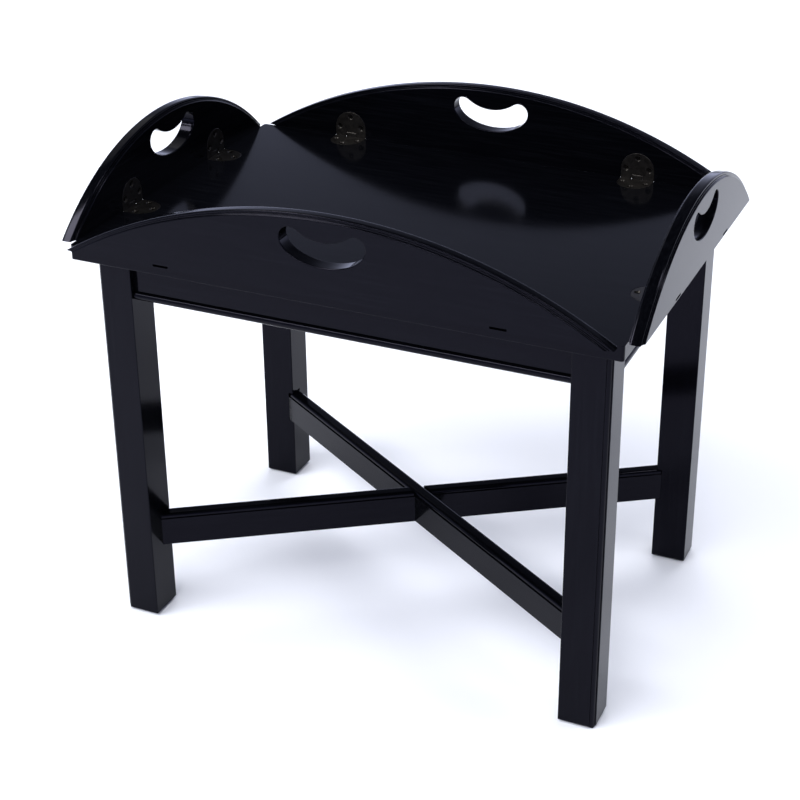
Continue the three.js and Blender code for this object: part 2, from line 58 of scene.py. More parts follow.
# Tray board
TRAY_TOP_ARRIS = 0.15 * MM
TRAY_BOTTOM_ARRIS = 0.8 * MM
TRAY_CORNER_RADIUS = 3 * MM
TRAY_CORNER_STEPS = 8
TRAY_ARRIS_STEPS = 6

# Leaves: the inner face stands a little proud, so that no light comes under the foot
LEAF_END_INSET = 5 * MM
LEAF_PROUD = 0.2 * MM
LEAF_GAP = 0.02 * MM

# Leaf rim, from the face outwards: an arris, a step down, a ledge, a fillet and the broad band, nearly flat
RIM_STEP_DEPTH = 4 * MM
RIM_STEP_WIDTH = 1.6 * MM
RIM_STEP_ARRIS = 1.2 * MM
RIM_FILLET_WIDTH = 0.9 * MM
RIM_BAND_RISE = 2.6 * MM
RIM_BAND_SQUARENESS = 0.4
RIM_SOFTENING = 0.4 * MM
RIM_STEPS = 120
RIM_CROWN_STEPS = 20
RIM_ARRIS_STEPS = 6
RIM_SOFT_STEPS = 4

# Kidney handle slot
HANDLE_HALF_WIDTH = 45 * MM
HANDLE_LOBE_RADIUS = 11 * MM
HANDLE_DEPTH = 25 * MM
HANDLE_HEIGHT = 57 * MM
HANDLE_ARRIS = 1.1 * MM
HANDLE_ARRIS_STEPS = 4
HANDLE_BOWL_STEPS = 60
HANDLE_LOBE_STEPS = 24
HANDLE_HOLLOW_STEPS = 28

# Hinges
HINGE_OFFSETS = {"long": 178 * MM, "short": 88 * MM}
PLATE_HALF_WIDTH = 19.5 * MM
PLATE_REACH = 30.5 * MM
PLATE_THICKNESS = 2.5 * MM
PLATE_SETBACK = 0.02 * MM
PLATE_ARRIS = 0.6 * MM
PLATE_FIT = 0.1 * MM
PLATE_STEPS = 48
PLATE_ARRIS_STEPS = 4
SCREW_HOLE_RADIUS = 1.8 * MM
COUNTERSINK_RADIUS = 3.6 * MM
SCREW_PLACES = [(0, 24.5 * MM), (-13.5 * MM, 12 * MM), (13.5 * MM, 12 * MM)]
SCREW_SUNK = 1.1 * MM
SCREW_LENGTH = 11 * MM
SCREW_STEPS = 28
SCREW_TURNS = (0.4, 1.1, 2.3)
SCREW_RIM = 0.2 * MM
SCREW_TIP_SHARE = 0.25
SCREW_CORE_SHARE = 0.8
SCREW_TAPER_SHARE = 3
CROSS_WIDTH_SHARE = 0.2
CROSS_REACH_SHARE = 0.62
CROSS_DEPTH_SHARE = 0.75
PIN_REACH = 3.6 * MM
PIN_DEPTH = PIN_REACH * (math.sqrt(2) - 1)
PIN_RADIUS = 0.6 * MM
PIN_CLEARANCE = 0.25 * MM
PIN_STEPS = 20
LINK_LENGTH = 2 * PIN_REACH
LINK_TRAVEL = 2 * math.hypot(PIN_REACH, PIN_DEPTH) - LINK_LENGTH
LINK_EYE_RADIUS = 1.3 * MM
LINK_NECK = 1.5 * MM
LINK_FLOOR = math.sqrt(2) * LINK_EYE_RADIUS - PIN_REACH - LINK_NECK
LINK_HALF_WIDTH = 6.2 * MM
LINK_ARRIS = 0.15 * MM
LINK_ARRIS_STEPS = 2
LINK_EYE_STEPS = 24
LINK_SLOT_STEPS = 12
LINK_NEAR_STEPS = 20
LINK_FAR_STEPS = 16
LINK_TOP_STEPS = 6
LUG_THICKNESS = 2.2 * MM
LUG_REACH = 1.5 * MM
LUG_DEPTH = 3.4 * MM
MOUTH_HALF_WIDTH = 8.5 * MM
MOUTH_LIP = 1.2 * MM
MOUTH_HEIGHT = 2.4 * MM
FIT = 0.3 * MM
NOTCH_HALF = LINK_HALF_WIDTH + FIT
NOTCH_REACH = PIN_REACH + LINK_TRAVEL + LINK_EYE_RADIUS + FIT

# Legs, aprons and stretchers
LEG_SIDE = 40 * MM
LEG_BEAD_RADIUS = 4.4 * MM
LEG_BEAD_QUIRK = 1.3 * MM
LEG_BEAD_STEPS = 12
LEG_FOOT_CHAMFER = 3 * MM
LEG_ARRIS = 0.9 * MM
LEG_ARRIS_STEPS = 5
APRON_THICKNESS = 18 * MM
APRON_SETBACK = 7 * MM
APRON_BEAD_HEIGHT = 9.5 * MM
APRON_BEAD_PROJECTION = 4 * MM
APRON_BEAD_STEPS = 24
STRETCHER_WIDTH = 18 * MM
STRETCHER_HOUSING = 15 * MM
STRETCHER_ROUND = 4 * MM
STRETCHER_STEP = 1.4 * MM
STRETCHER_ROUND_STEPS = 12
STRETCHER_SOFT_SHARE = 0.25
STRETCHER_SOFT_STEPS = 3
BLOCK_REACH = 44 * MM
BLOCK_ARRIS = 0.8 * MM
BLOCK_ARRIS_STEPS = 2
BLOCK_SCREW_SHARES = ((0.2, 0.5), (0.5, 0.2))
BATTEN_SCREW_SHARES = (-0.42, 0, 0.42)

# How far a cut runs over, what counts as near an edge or on a face, and when two points are one
OVERRUN = 4 * MM
NEAR = 0.5 * MM
SKIN = 0.1 * MM
MERGE_DISTANCE = 0.002 * MM

# Shading and rounding of edges
SMOOTH_ANGLE = math.radians(38)
SHARP_ANGLE = math.radians(30)
FLAT_ANGLE = math.radians(0.3)
LEVEL_NORMAL = 0.9
FACE_WEIGHT = 80
EASE_STEPS = 3
ROUND_PROFILE = 0.5

# Lacquer: colours, shine and the scale of its textures
LACQUER_DARK = (0.0006, 0.0007, 0.0012)
LACQUER_LIGHT = (0.0022, 0.0024, 0.0034)
LACQUER_ROUGH = (0.10, 0.15)
LACQUER_SPECULAR = 0.11
LACQUER_TINT = (0.74, 0.72, 1.0, 1)
LACQUER_IOR = 1.5
GRAIN_ALONG = 14
GRAIN_ACROSS = 420
GRAIN_NOISE = {"Scale": 1.0, "Detail": 6.0, "Roughness": 0.62, "Distortion": 0.4}
PORE_NOISE = {"Scale": 4.5, "Detail": 3.0, "Roughness": 0.5}
CLOUD_NOISE = {"Scale": 9.0, "Detail": 3.0, "Roughness": 0.55}
PEEL_NOISE = {"Scale": 420.0, "Detail": 2.0, "Roughness": 0.5}
STREAK_RANGE = (0.45, 0.75)
GRAIN_RELIEF = 0.008 * MM
PORE_RELIEF = 0.003 * MM
PEEL_RELIEF = 0.006 * MM
BUMP_STRENGTH = 0.5

# Bronze: the plates and links; the walls of the screw holes, darker as painted shade in the holes; and the
# screws, also darker as painted shade
BRONZE_LIGHT = (0.036, 0.033, 0.030)
BRONZE_DARK = (0.016, 0.0145, 0.0135)
BRONZE_ROUGH = (0.24, 0.40)
# Painted shade: the walls of the screw holes are a darker bronze than the plate
PAINTED_SHADE_RECESS_LIGHT = (0.006, 0.0055, 0.005)
PAINTED_SHADE_RECESS_DARK = (0.002, 0.0018, 0.0017)
RECESS_ROUGH = (0.40, 0.60)
# Painted shade: the screws are a much darker bronze than the plate, so that the screw holes read dark
PAINTED_SHADE_SCREW_LIGHT = (0.018, 0.016, 0.014)
PAINTED_SHADE_SCREW_DARK = (0.006, 0.0055, 0.005)
SCREW_ROUGH = (0.22, 0.40)
BRONZE_METALLIC = 0.85
BRUSH_GRAIN = (900, 120, 900)
PATCH_NOISE = {"Scale": 160.0, "Detail": 5.0, "Roughness": 0.6, "Distortion": 0.6}
BRUSH_NOISE = {"Scale": 1.0, "Detail": 4.0, "Roughness": 0.7}
PIT_CELLS = {"Scale": 1400.0}
PATCH_RANGE = (0.35, 0.65)
PATCH_RELIEF = 0.03 * MM
BRUSH_RELIEF = 0.012 * MM
PIT_RELIEF = 0.006 * MM

# Bare wood under the table
WOOD_DARK = (0.105, 0.064, 0.036)
WOOD_LIGHT = (0.19, 0.12, 0.068)
WOOD_ROUGH = (0.6, 0.85)
WOOD_GRAIN = (30, 300, 300)
RING_WAVES = {"Scale": 1.2, "Distortion": 5.0, "Detail": 3.0}
FIBRE_NOISE = {"Scale": 5.0, "Detail": 6.0, "Roughness": 0.65}
RING_RANGE = (0.1, 0.6)
FIBRE_RELIEF = 0.2 * MM
FIBRE_STRENGTH = 0.35

# Light of the room by the sine of the height in the sky
ROOM_STOPS = [(0.0, 1.8), (0.15, 1.4), (0.26, 0.75), (0.36, 0.39), (0.44, 0.34), (0.52, 0.10), (0.80, 0.05)]
ROOM_TINT = (0.68, 0.73, 1.0)
FLOOR_COLOUR = (0.84, 0.865, 0.94, 1)
FLOOR_HALF = 14

# Soft boxes: name, place, target, size, power in watts and whether they show in reflections
LIGHTS = (
    ("light_overhead", (0.0, -0.9, 2.8), (-0.1, -0.3, 0), (2.6, 2.6), 52, False),
    ("light_overhead_back", (-0.3, 2.6, 2.8), (-0.4, 2.0, 0), (3.2, 2.4), 112, False),
    ("light_key", (-1.6, -1.15, 2.8), (0, 0, 0.4), (1.1, 0.9), 45, True),
    ("light_card_left", (-2.2, 1.6, 2.8), (-0.3, 0, 0.5), (1.7, 1.5), 4, True),
    ("light_right", (1.2, 0.1, 2.8), (0, 0, 0.4), (0.25, 0.8), 10, True),
    ("light_front_strip", (-0.5, -2.4, 2.3), (0, 0, 0.4), (3.0, 0.3), 60, True),
)

# The frame's own sizes
tray_low, tray_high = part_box("tray_board")
TABLE_HEIGHT = tray_high.z
TRAY_HALF = {"long": tray_high.y, "short": tray_high.x}
leg_low, leg_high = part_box("leg_front_right")
LEG_X = leg_high.x
LEG_Y = -leg_low.y
LEG_HEIGHT = leg_high.z
apron_low, apron_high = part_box("apron_front")
stretcher_low, stretcher_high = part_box("stretcher_upper")

SIDES = {
    "front": {"turn": 0, "ends": ("left", "right"), "kind": "long"},
    "right": {"turn": math.pi / 2, "ends": ("front", "back"), "kind": "short"},
    "back": {"turn": math.pi, "ends": ("right", "left"), "kind": "long"},
    "left": {"turn": -math.pi / 2, "ends": ("back", "front"), "kind": "short"},
}
CORNERS = {
    "front_left": (-1, -1),
    "front_right": (1, -1),
    "back_left": (-1, 1),
    "back_right": (1, 1),
}


# Mesh building

def arc(x, y, radius, start, end, steps):
    """Points of a circle's arc, both ends included."""
    turns = [start + (end - start) * i / steps for i in range(steps + 1)]
    return [(x + radius * math.cos(a), y + radius * math.sin(a)) for a in turns]


def prism(points, low, high):
    """A closed prism over a polygon drawn in X and Y."""
    mesh = bmesh.new()
    bottom = [mesh.verts.new((x, y, low)) for x, y in points]
    top = [mesh.verts.new((x, y, high)) for x, y in points]
    mesh.faces.new(bottom[::-1])
    mesh.faces.new(top)
    for i in range(len(points)):
        j = (i + 1) % len(points)
        mesh.faces.new((bottom[i], bottom[j], top[j], top[i]))
    bmesh.ops.recalc_face_normals(mesh, faces=mesh.faces)
    return mesh


def block(low, high):
    """A box between two corners, for cuts."""
    corners = [(low[0], low[1]), (high[0], low[1]), (high[0], high[1]), (low[0], high[1])]
    return prism(corners, low[2], high[2])


def lathe(profile, steps):
    """A profile of radius and height, from axis to axis, turned about Z."""
    mesh = bmesh.new()
    rings = []
    for radius, height in profile:
        if radius == 0:
            rings.append([mesh.verts.new((0, 0, height))])
        else:
            circle = arc(0, 0, radius, 0, 2 * math.pi, steps)[:-1]
            rings.append([mesh.verts.new((x, y, height)) for x, y in circle])
    for lower, upper in zip(rings, rings[1:]):
        for i in range(steps):
            j = (i + 1) % steps
            below = [lower[k % len(lower)] for k in (i, j)]
            above = [upper[k % len(upper)] for k in (j, i)]
            mesh.faces.new(list(dict.fromkeys(below + above)))
    bmesh.ops.recalc_face_normals(mesh, faces=mesh.faces)
    return mesh


def moved(mesh, matrix):
    """The same mesh after a transform, facing outwards."""
    bmesh.ops.transform(mesh, matrix=matrix, verts=mesh.verts)
    bmesh.ops.recalc_face_normals(mesh, faces=mesh.faces)
    return mesh


def object_from(mesh, name):
    """An object in the scene that holds a mesh under construction."""
    data = bpy.data.meshes.new(name)
    mesh.to_mesh(data)
    mesh.free()
    item = bpy.data.objects.new(name, data)
    bpy.context.scene.collection.objects.link(item)
    return item


def boolean(target, mesh, operation="DIFFERENCE"):
    """Cuts a mesh from an object's mesh, joins it on or keeps what both share, and applies it."""
    tool = object_from(mesh, "tool")
    modifier = target.modifiers.new("cut", "BOOLEAN")
    modifier.operation = operation
    modifier.solver = "EXACT"
    modifier.object = tool
    apply_modifiers(target)
    bpy.data.meshes.remove(tool.data)
    return target


def apply_modifiers(item):
    """Replaces an object's mesh by what its modifiers make of it."""
    bpy.context.view_layer.update()
    graph = bpy.context.evaluated_depsgraph_get()
    result = bpy.data.meshes.new_from_object(item.evaluated_get(graph))
    old = item.data
    item.modifiers.clear()
    item.data = result
    bpy.data.meshes.remove(old)


def clean(item):
    """Merges doubled points and drops the needless edges that a cut leaves in flat faces."""
    mesh = bmesh.new()
    mesh.from_mesh(item.data)
    bmesh.ops.remove_doubles(mesh, verts=mesh.verts, dist=MERGE_DISTANCE)
    bmesh.ops.dissolve_limit(
        mesh, angle_limit=FLAT_ANGLE, verts=mesh.verts, edges=mesh.edges, delimit={"NORMAL"}
    )
    mesh.to_mesh(item.data)
    mesh.free()
    return item


def ease(item, width, chosen, segments=EASE_STEPS):
    """Rounds the edges that a test picks by their two ends."""
    mesh = bmesh.new()
    mesh.from_mesh(item.data)
    edges = [
        edge
        for edge in mesh.edges
        if len(edge.link_faces) == 2
        and edge.calc_face_angle() > SHARP_ANGLE
        and chosen(edge.verts[0].co, edge.verts[1].co)
    ]
    bmesh.ops.bevel(
        mesh,
        geom=edges,
        offset=width,
        segments=segments,
        profile=ROUND_PROFILE,
        affect="EDGES",
        clamp_overlap=True,
    )
    mesh.to_mesh(item.data)
    mesh.free()
    return item


def everywhere(first, second):
    return True


def finish_piece(item, name, body, material, nodes=(), second=None):
    """Shades a piece, gives it its material, or two, and puts it on its body."""
    item.name = name
    item.data.name = name
    item.data.shade_smooth()
    item.data.set_sharp_from_angle(angle=SMOOTH_ANGLE)
    weighted = item.modifiers.new("even_shading", "WEIGHTED_NORMAL")
    weighted.keep_sharp = True
    weighted.weight = FACE_WEIGHT
    item.data.materials.clear()
    item.data.materials.append(material)
    if second:
        item.data.materials.append(second)
    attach(item, body)
    if nodes:
        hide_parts(*nodes)
    return item


def copied(item, name):
    """A second object with the same mesh."""
    twin = bpy.data.objects.new(name, item.data.copy())
    bpy.context.scene.collection.objects.link(twin)
    return twin


# Materials

def new_material(name):
    material = bpy.data.materials.new(name)
    material.use_nodes = True
    tree = material.node_tree
    shader = tree.nodes["Principled BSDF"]
    return material, tree, shader


def stretched_coordinates(tree, along, turn):
    """The object's own coordinates turned by the grain's angle about Z, and the same scaled on each axis."""
    place = tree.nodes.new("ShaderNodeTexCoord")
    rotate = tree.nodes.new("ShaderNodeMapping")
    rotate.inputs["Rotation"].default_value = (0, 0, -turn)
    shrink = tree.nodes.new("ShaderNodeMapping")
    shrink.inputs["Scale"].default_value = along
    tree.links.new(place.outputs["Object"], rotate.inputs["Vector"])
    tree.links.new(rotate.outputs["Vector"], shrink.inputs["Vector"])
    return rotate.outputs["Vector"], shrink.outputs["Vector"]


def texture(tree, kind, place, settings):
    """The outputs of a texture at some coordinates. Settings has values by the names of its inputs."""
    made = tree.nodes.new("ShaderNodeTex" + kind)
    for key, value in settings.items():
        made.inputs[key].default_value = value
    tree.links.new(place, made.inputs["Vector"])
    return made.outputs


def ramp_between(tree, factor, low, high, start, end):
    """Two colours mixed by a texture's value, the first below start and the second above end."""
    ramp = tree.nodes.new("ShaderNodeValToRGB")
    ramp.color_ramp.elements[0].position = start
    ramp.color_ramp.elements[0].color = (*low, 1)
    ramp.color_ramp.elements[1].position = end
    ramp.color_ramp.elements[1].color = (*high, 1)
    tree.links.new(factor, ramp.inputs["Fac"])
    return ramp.outputs["Color"]


def range_between(tree, factor, low, high):
    """A texture's value spread over a range."""
    spread = tree.nodes.new("ShaderNodeMapRange")
    spread.inputs["To Min"].default_value = low
    spread.inputs["To Max"].default_value = high
    tree.links.new(factor, spread.inputs["Value"])
    return spread.outputs["Result"]


def bump_from(tree, height, distance, normal=None, strength=BUMP_STRENGTH):
    """A bump node over a height, added to an earlier one."""
    bump = tree.nodes.new("ShaderNodeBump")
    bump.inputs["Strength"].default_value = strength
    bump.inputs["Distance"].default_value = distance
    tree.links.new(height, bump.inputs["Height"])
    if normal is not None:
        tree.links.new(normal, bump.inputs["Normal"])
    return bump.outputs["Normal"]


def lacquer(name, along, turn=0):
    """Black lacquer over close-grained wood. Along has the texture's scale on each axis of the piece."""
    material, tree, shader = new_material(name)
    plain, stretched = stretched_coordinates(tree, along, turn)
    grain = texture(tree, "Noise", stretched, GRAIN_NOISE)["Fac"]
    pores = texture(tree, "Noise", stretched, PORE_NOISE)["Fac"]
    cloud = texture(tree, "Noise", plain, CLOUD_NOISE)["Fac"]
    peel = texture(tree, "Noise", plain, PEEL_NOISE)["Fac"]
    colour = ramp_between(tree, grain, LACQUER_DARK, LACQUER_LIGHT, *STREAK_RANGE)
    tree.links.new(colour, shader.inputs["Base Color"])
    tree.links.new(range_between(tree, cloud, *LACQUER_ROUGH), shader.inputs["Roughness"])
    normal = bump_from(tree, grain, GRAIN_RELIEF)
    normal = bump_from(tree, pores, PORE_RELIEF, normal)
    normal = bump_from(tree, peel, PEEL_RELIEF, normal)
    tree.links.new(normal, shader.inputs["Normal"])
    shader.inputs["IOR"].default_value = LACQUER_IOR
    shader.inputs["Specular IOR Level"].default_value = LACQUER_SPECULAR
    shader.inputs["Specular Tint"].default_value = LACQUER_TINT
    return material


def bronze(name, light, dark, rough):
    """Antique bronze: brown and grey patches, fine brushing and small pits."""
    material, tree, shader = new_material(name)
    plain, stretched = stretched_coordinates(tree, BRUSH_GRAIN, 0)
    patch = texture(tree, "Noise", plain, PATCH_NOISE)["Fac"]
    brush = texture(tree, "Noise", stretched, BRUSH_NOISE)["Fac"]
    pits = texture(tree, "Voronoi", plain, PIT_CELLS)["Distance"]
    tree.links.new(ramp_between(tree, patch, dark, light, *PATCH_RANGE), shader.inputs["Base Color"])
    tree.links.new(range_between(tree, brush, *rough), shader.inputs["Roughness"])
    normal = bump_from(tree, patch, PATCH_RELIEF)
    normal = bump_from(tree, brush, BRUSH_RELIEF, normal)
    normal = bump_from(tree, pits, PIT_RELIEF, normal)
    tree.links.new(normal, shader.inputs["Normal"])
    shader.inputs["Metallic"].default_value = BRONZE_METALLIC
    return material


def bare_wood(name):
    """Plain sawn hardwood under the table: rings and rough fibres."""
    material, tree, shader = new_material(name)
    stretched = stretched_coordinates(tree, WOOD_GRAIN, 0)[1]
    rings = texture(tree, "Wave", stretched, RING_WAVES)["Fac"]
    fibres = texture(tree, "Noise", stretched, FIBRE_NOISE)["Fac"]
    mix = tree.nodes.new("ShaderNodeMath")
    mix.operation = "MULTIPLY"
    tree.links.new(rings, mix.inputs[0])
    tree.links.new(fibres, mix.inputs[1])
    colour = ramp_between(tree, mix.outputs[0], WOOD_DARK, WOOD_LIGHT, *RING_RANGE)
    tree.links.new(colour, shader.inputs["Base Color"])
    tree.links.new(range_between(tree, fibres, *WOOD_ROUGH), shader.inputs["Roughness"])
    normal = bump_from(tree, fibres, FIBRE_RELIEF, strength=FIBRE_STRENGTH)
    tree.links.new(normal, shader.inputs["Normal"])
    return material


stretcher_angle = math.atan2(LEG_Y - LEG_SIDE / 2, LEG_X - LEG_SIDE / 2)
grain_x = (GRAIN_ALONG, GRAIN_ACROSS, GRAIN_ACROSS)
LOOKS = {
    "long": lacquer("lacquer_grain_long", grain_x),
    "short": lacquer("lacquer_grain_short", grain_x, math.pi / 2),
    "upright": lacquer("lacquer_grain_upright", (GRAIN_ACROSS, GRAIN_ACROSS, GRAIN_ALONG)),
    "upper": lacquer("lacquer_grain_upper", grain_x, -stretcher_angle),
    "lower": lacquer("lacquer_grain_lower", grain_x, stretcher_angle),
    "bronze": bronze("antique_bronze", BRONZE_LIGHT, BRONZE_DARK, BRONZE_ROUGH),
    # The walls of the screw holes: darker bronze as painted shade
    "recess": bronze("bronze_painted_shade_in_countersinks", PAINTED_SHADE_RECESS_LIGHT, PAINTED_SHADE_RECESS_DARK, RECESS_ROUGH),
    # Screws: darker bronze as painted shade in the screw holes
    "screw": bronze("bronze_screw_painted_shade", PAINTED_SHADE_SCREW_LIGHT, PAINTED_SHADE_SCREW_DARK, SCREW_ROUGH),
    "wood": bare_wood("bare_wood"),
}


# Places on the table

def side_matrix(side):
    """From a side's own frame, drawn as the front with the fold at its origin, to the table's."""
    place = Vector((0, -TRAY_HALF[side["kind"]], TABLE_HEIGHT))
    return Matrix.Rotation(side["turn"], 4, "Z") @ Matrix.Translation(place)


def upright_matrix(side):
    """From a leaf's frame, U along the fold, V up and N towards the tray, to the table's."""
    stand = Matrix.Rotation(math.pi, 4, "Y")
    lean = Matrix.Rotation(math.pi / 2, 4, "X")
    return side_matrix(side) @ lean @ stand


def from_corner(corner, in_x, in_y):
    """A point measured inwards from the outer corner of a leg."""
    return corner[0] * (LEG_X - in_x), corner[1] * (LEG_Y - in_y)


# Legs

def leg_outline(corner):
    start = LEG_BEAD_QUIRK + LEG_BEAD_RADIUS
    quarter = math.pi / 2
    near, far = LEG_ARRIS, LEG_SIDE - LEG_ARRIS
    points = [
        (start, 0),
        *arc(start, start, LEG_BEAD_RADIUS, -quarter, -2 * quarter, LEG_BEAD_STEPS),
        (0, start),
        *arc(near, far, LEG_ARRIS, 2 * quarter, quarter, LEG_ARRIS_STEPS),
        *arc(far, far, LEG_ARRIS, quarter, 0, LEG_ARRIS_STEPS),
        *arc(far, near, LEG_ARRIS, 0, -quarter, LEG_ARRIS_STEPS),
    ]
    return [from_corner(corner, x, y) for x, y in points]


def foot_envelope(corner):
    """A square post a little larger than the leg, chamfered at its foot."""
    mesh = bmesh.new()
    rings = []
    for inset, height in ((LEG_FOOT_CHAMFER, 0), (0, LEG_FOOT_CHAMFER), (0, LEG_HEIGHT + OVERRUN)):
        near, far = inset, LEG_SIDE - inset
        square = [(near, near), (far, near), (far, far), (near, far)]
        rings.append([mesh.verts.new((*from_corner(corner, x, y), height)) for x, y in square])
    mesh.faces.new(rings[0])
    mesh.faces.new(rings[-1])
    for lower, upper in zip(rings, rings[1:]):
        for i in range(len(lower)):
            j = (i + 1) % len(lower)
            mesh.faces.new((lower[i], lower[j], upper[j], upper[i]))
    bmesh.ops.recalc_face_normals(mesh, faces=mesh.faces)
    return mesh


def stretcher_housing(turn):
    """The space that both ends of a stretcher take in the legs."""
    half = STRETCHER_WIDTH / 2 + FIT
    reach = math.hypot(LEG_X - LEG_SIDE, LEG_Y - LEG_SIDE) + STRETCHER_HOUSING + FIT
    space = block((-reach, -half, stretcher_low.z - FIT), (reach, half, stretcher_high.z + FIT))
    return moved(space, Matrix.Rotation(turn * stretcher_angle, 4, "Z"))


def make_legs():
    for name, corner in CORNERS.items():
        leg = object_from(prism(leg_outline(corner), 0, LEG_HEIGHT), "leg")
        boolean(leg, foot_envelope(corner), "INTERSECT")
        boolean(leg, stretcher_housing(corner[0] * corner[1]))
        clean(leg)
        finish_piece(leg, "leg_wood_" + name, "stand", LOOKS["upright"], ["leg_" + name])


# Aprons

def apron_outline():
    """The section with X outwards from the apron's face."""
    radius = APRON_BEAD_HEIGHT / 2
    quarter = math.pi / 2
    bead_x = APRON_BEAD_PROJECTION - radius
    bead_z = apron_low.z + radius
    nose = [p for p in arc(bead_x, bead_z, radius, -quarter, quarter, APRON_BEAD_STEPS) if p[0] > 0]
    return [
        (-APRON_THICKNESS, apron_low.z),
        (0, apron_low.z),
        *nose,
        (0, apron_low.z + APRON_BEAD_HEIGHT),
        (0, apron_high.z),
        (-APRON_THICKNESS, apron_high.z),
    ]


def make_aprons():
    for name, side in SIDES.items():
        is_long = side["kind"] == "long"
        face = (LEG_Y if is_long else LEG_X) - APRON_SETBACK
        half = (LEG_X if is_long else LEG_Y) - LEG_SIDE - FIT
        bar = prism(apron_outline(), -half, half)
        lay = Matrix(((0, 0, 1, 0), (-1, 0, 0, -face), (0, 1, 0, 0), (0, 0, 0, 1)))
        apron = object_from(moved(bar, Matrix.Rotation(side["turn"], 4, "Z") @ lay), "apron")
        ease(apron, LEG_ARRIS, lambda a, b: max(a.z, b.z) < apron_low.z + NEAR)
        finish_piece(
            apron, "apron_wood_" + name, "stand", LOOKS[side["kind"]], ["apron_" + name]
        )


# Crossed stretchers

def stretcher_outline():
    half = STRETCHER_WIDTH / 2
    shoulder = half - STRETCHER_STEP
    soft = STRETCHER_STEP * STRETCHER_SOFT_SHARE
    round_z = stretcher_high.z - STRETCHER_ROUND
    ledge_z = round_z - STRETCHER_STEP
    quarter = math.pi / 2
    right = [
        (half, stretcher_low.z),
        *arc(half - soft, ledge_z - soft, soft, 0, quarter, STRETCHER_SOFT_STEPS),
        (shoulder, ledge_z),
        *arc(shoulder - STRETCHER_ROUND, round_z, STRETCHER_ROUND, 0, quarter, STRETCHER_ROUND_STEPS),
    ]
    return right + [(-x, z) for x, z in reversed(right)]


def make_stretchers():
    height = stretcher_high.z - stretcher_low.z
    middle = (stretcher_high.z + stretcher_low.z) / 2
    half_length = math.hypot(LEG_X - LEG_SIDE, LEG_Y - LEG_SIDE) + STRETCHER_HOUSING
    half_notch = STRETCHER_WIDTH / 2 + FIT
    for name, turn, low, high in (
        ("upper", -1, middle - height, middle + FIT / 2),
        ("lower", 1, middle - FIT / 2, middle + height),
    ):
        lay = Matrix(((0, 0, 1, 0), (1, 0, 0, 0), (0, 1, 0, 0), (0, 0, 0, 1)))
        bar = moved(prism(stretcher_outline(), -half_length, half_length), lay)
        bar = moved(bar, Matrix.Rotation(turn * stretcher_angle, 4, "Z"))
        stretcher = object_from(bar, "stretcher")
        ease(stretcher, LEG_ARRIS / 2, lambda a, b: max(a.z, b.z) < stretcher_low.z + NEAR)
        notch = block((-LEG_SIDE, -half_notch, low), (LEG_SIDE, half_notch, high))
        boolean(stretcher, moved(notch, Matrix.Rotation(-turn * stretcher_angle, 4, "Z")))
        clean(stretcher)
        finish_piece(
            stretcher, "stretcher_wood_" + name, "stand", LOOKS[name], ["stretcher_" + name]
        )


# Hinges

def plate_outline(grow, start):
    """Straight sides from the fold and a half circle, U along the fold and W away from it."""
    half = PLATE_HALF_WIDTH + grow
    round_end = arc(0, PLATE_REACH - PLATE_HALF_WIDTH, half, 0, math.pi, PLATE_STEPS)
    return [(-half, start), (half, start), *round_end]


def hinge_spaces():
    """What one half of a hinge takes out of the wood: the recess, the link's way out and the lugs' pocket."""
    pocket_half = NOTCH_HALF + LUG_THICKNESS + FIT
    pocket_start = PIN_REACH - LUG_REACH - FIT
    pocket_reach = max(PIN_REACH + LUG_REACH, NOTCH_REACH) + FIT
    pocket_depth = max(LUG_DEPTH, PIN_DEPTH - LINK_FLOOR) + FIT
    recess = prism(plate_outline(PLATE_FIT, -OVERRUN), -PLATE_THICKNESS - PLATE_FIT, OVERRUN)
    way_out = block((-NOTCH_HALF, -OVERRUN, -pocket_depth), (NOTCH_HALF, pocket_reach, OVERRUN))
    pocket = block((-pocket_half, pocket_start, -pocket_depth), (pocket_half, pocket_reach, OVERRUN))
    return [recess, way_out, pocket]


def mortise_mouth(thickness):
    """The slot through which a leaf's pocket opens on the outer face, just above the foot."""
    low = (-MOUTH_HALF_WIDTH, MOUTH_LIP, -thickness - OVERRUN)
    return block(low, (MOUTH_HALF_WIDTH, MOUTH_LIP + MOUTH_HEIGHT, -PLATE_THICKNESS))


def countersink(u, w):
    slope = COUNTERSINK_RADIUS - SCREW_HOLE_RADIUS
    profile = [
        (0, -PLATE_THICKNESS - OVERRUN),
        (SCREW_HOLE_RADIUS, -PLATE_THICKNESS - OVERRUN),
        (SCREW_HOLE_RADIUS, -slope),
        (COUNTERSINK_RADIUS + OVERRUN, OVERRUN),
        (0, OVERRUN),
    ]
    return moved(lathe(profile, SCREW_STEPS), Matrix.Translation((u, w, 0)))


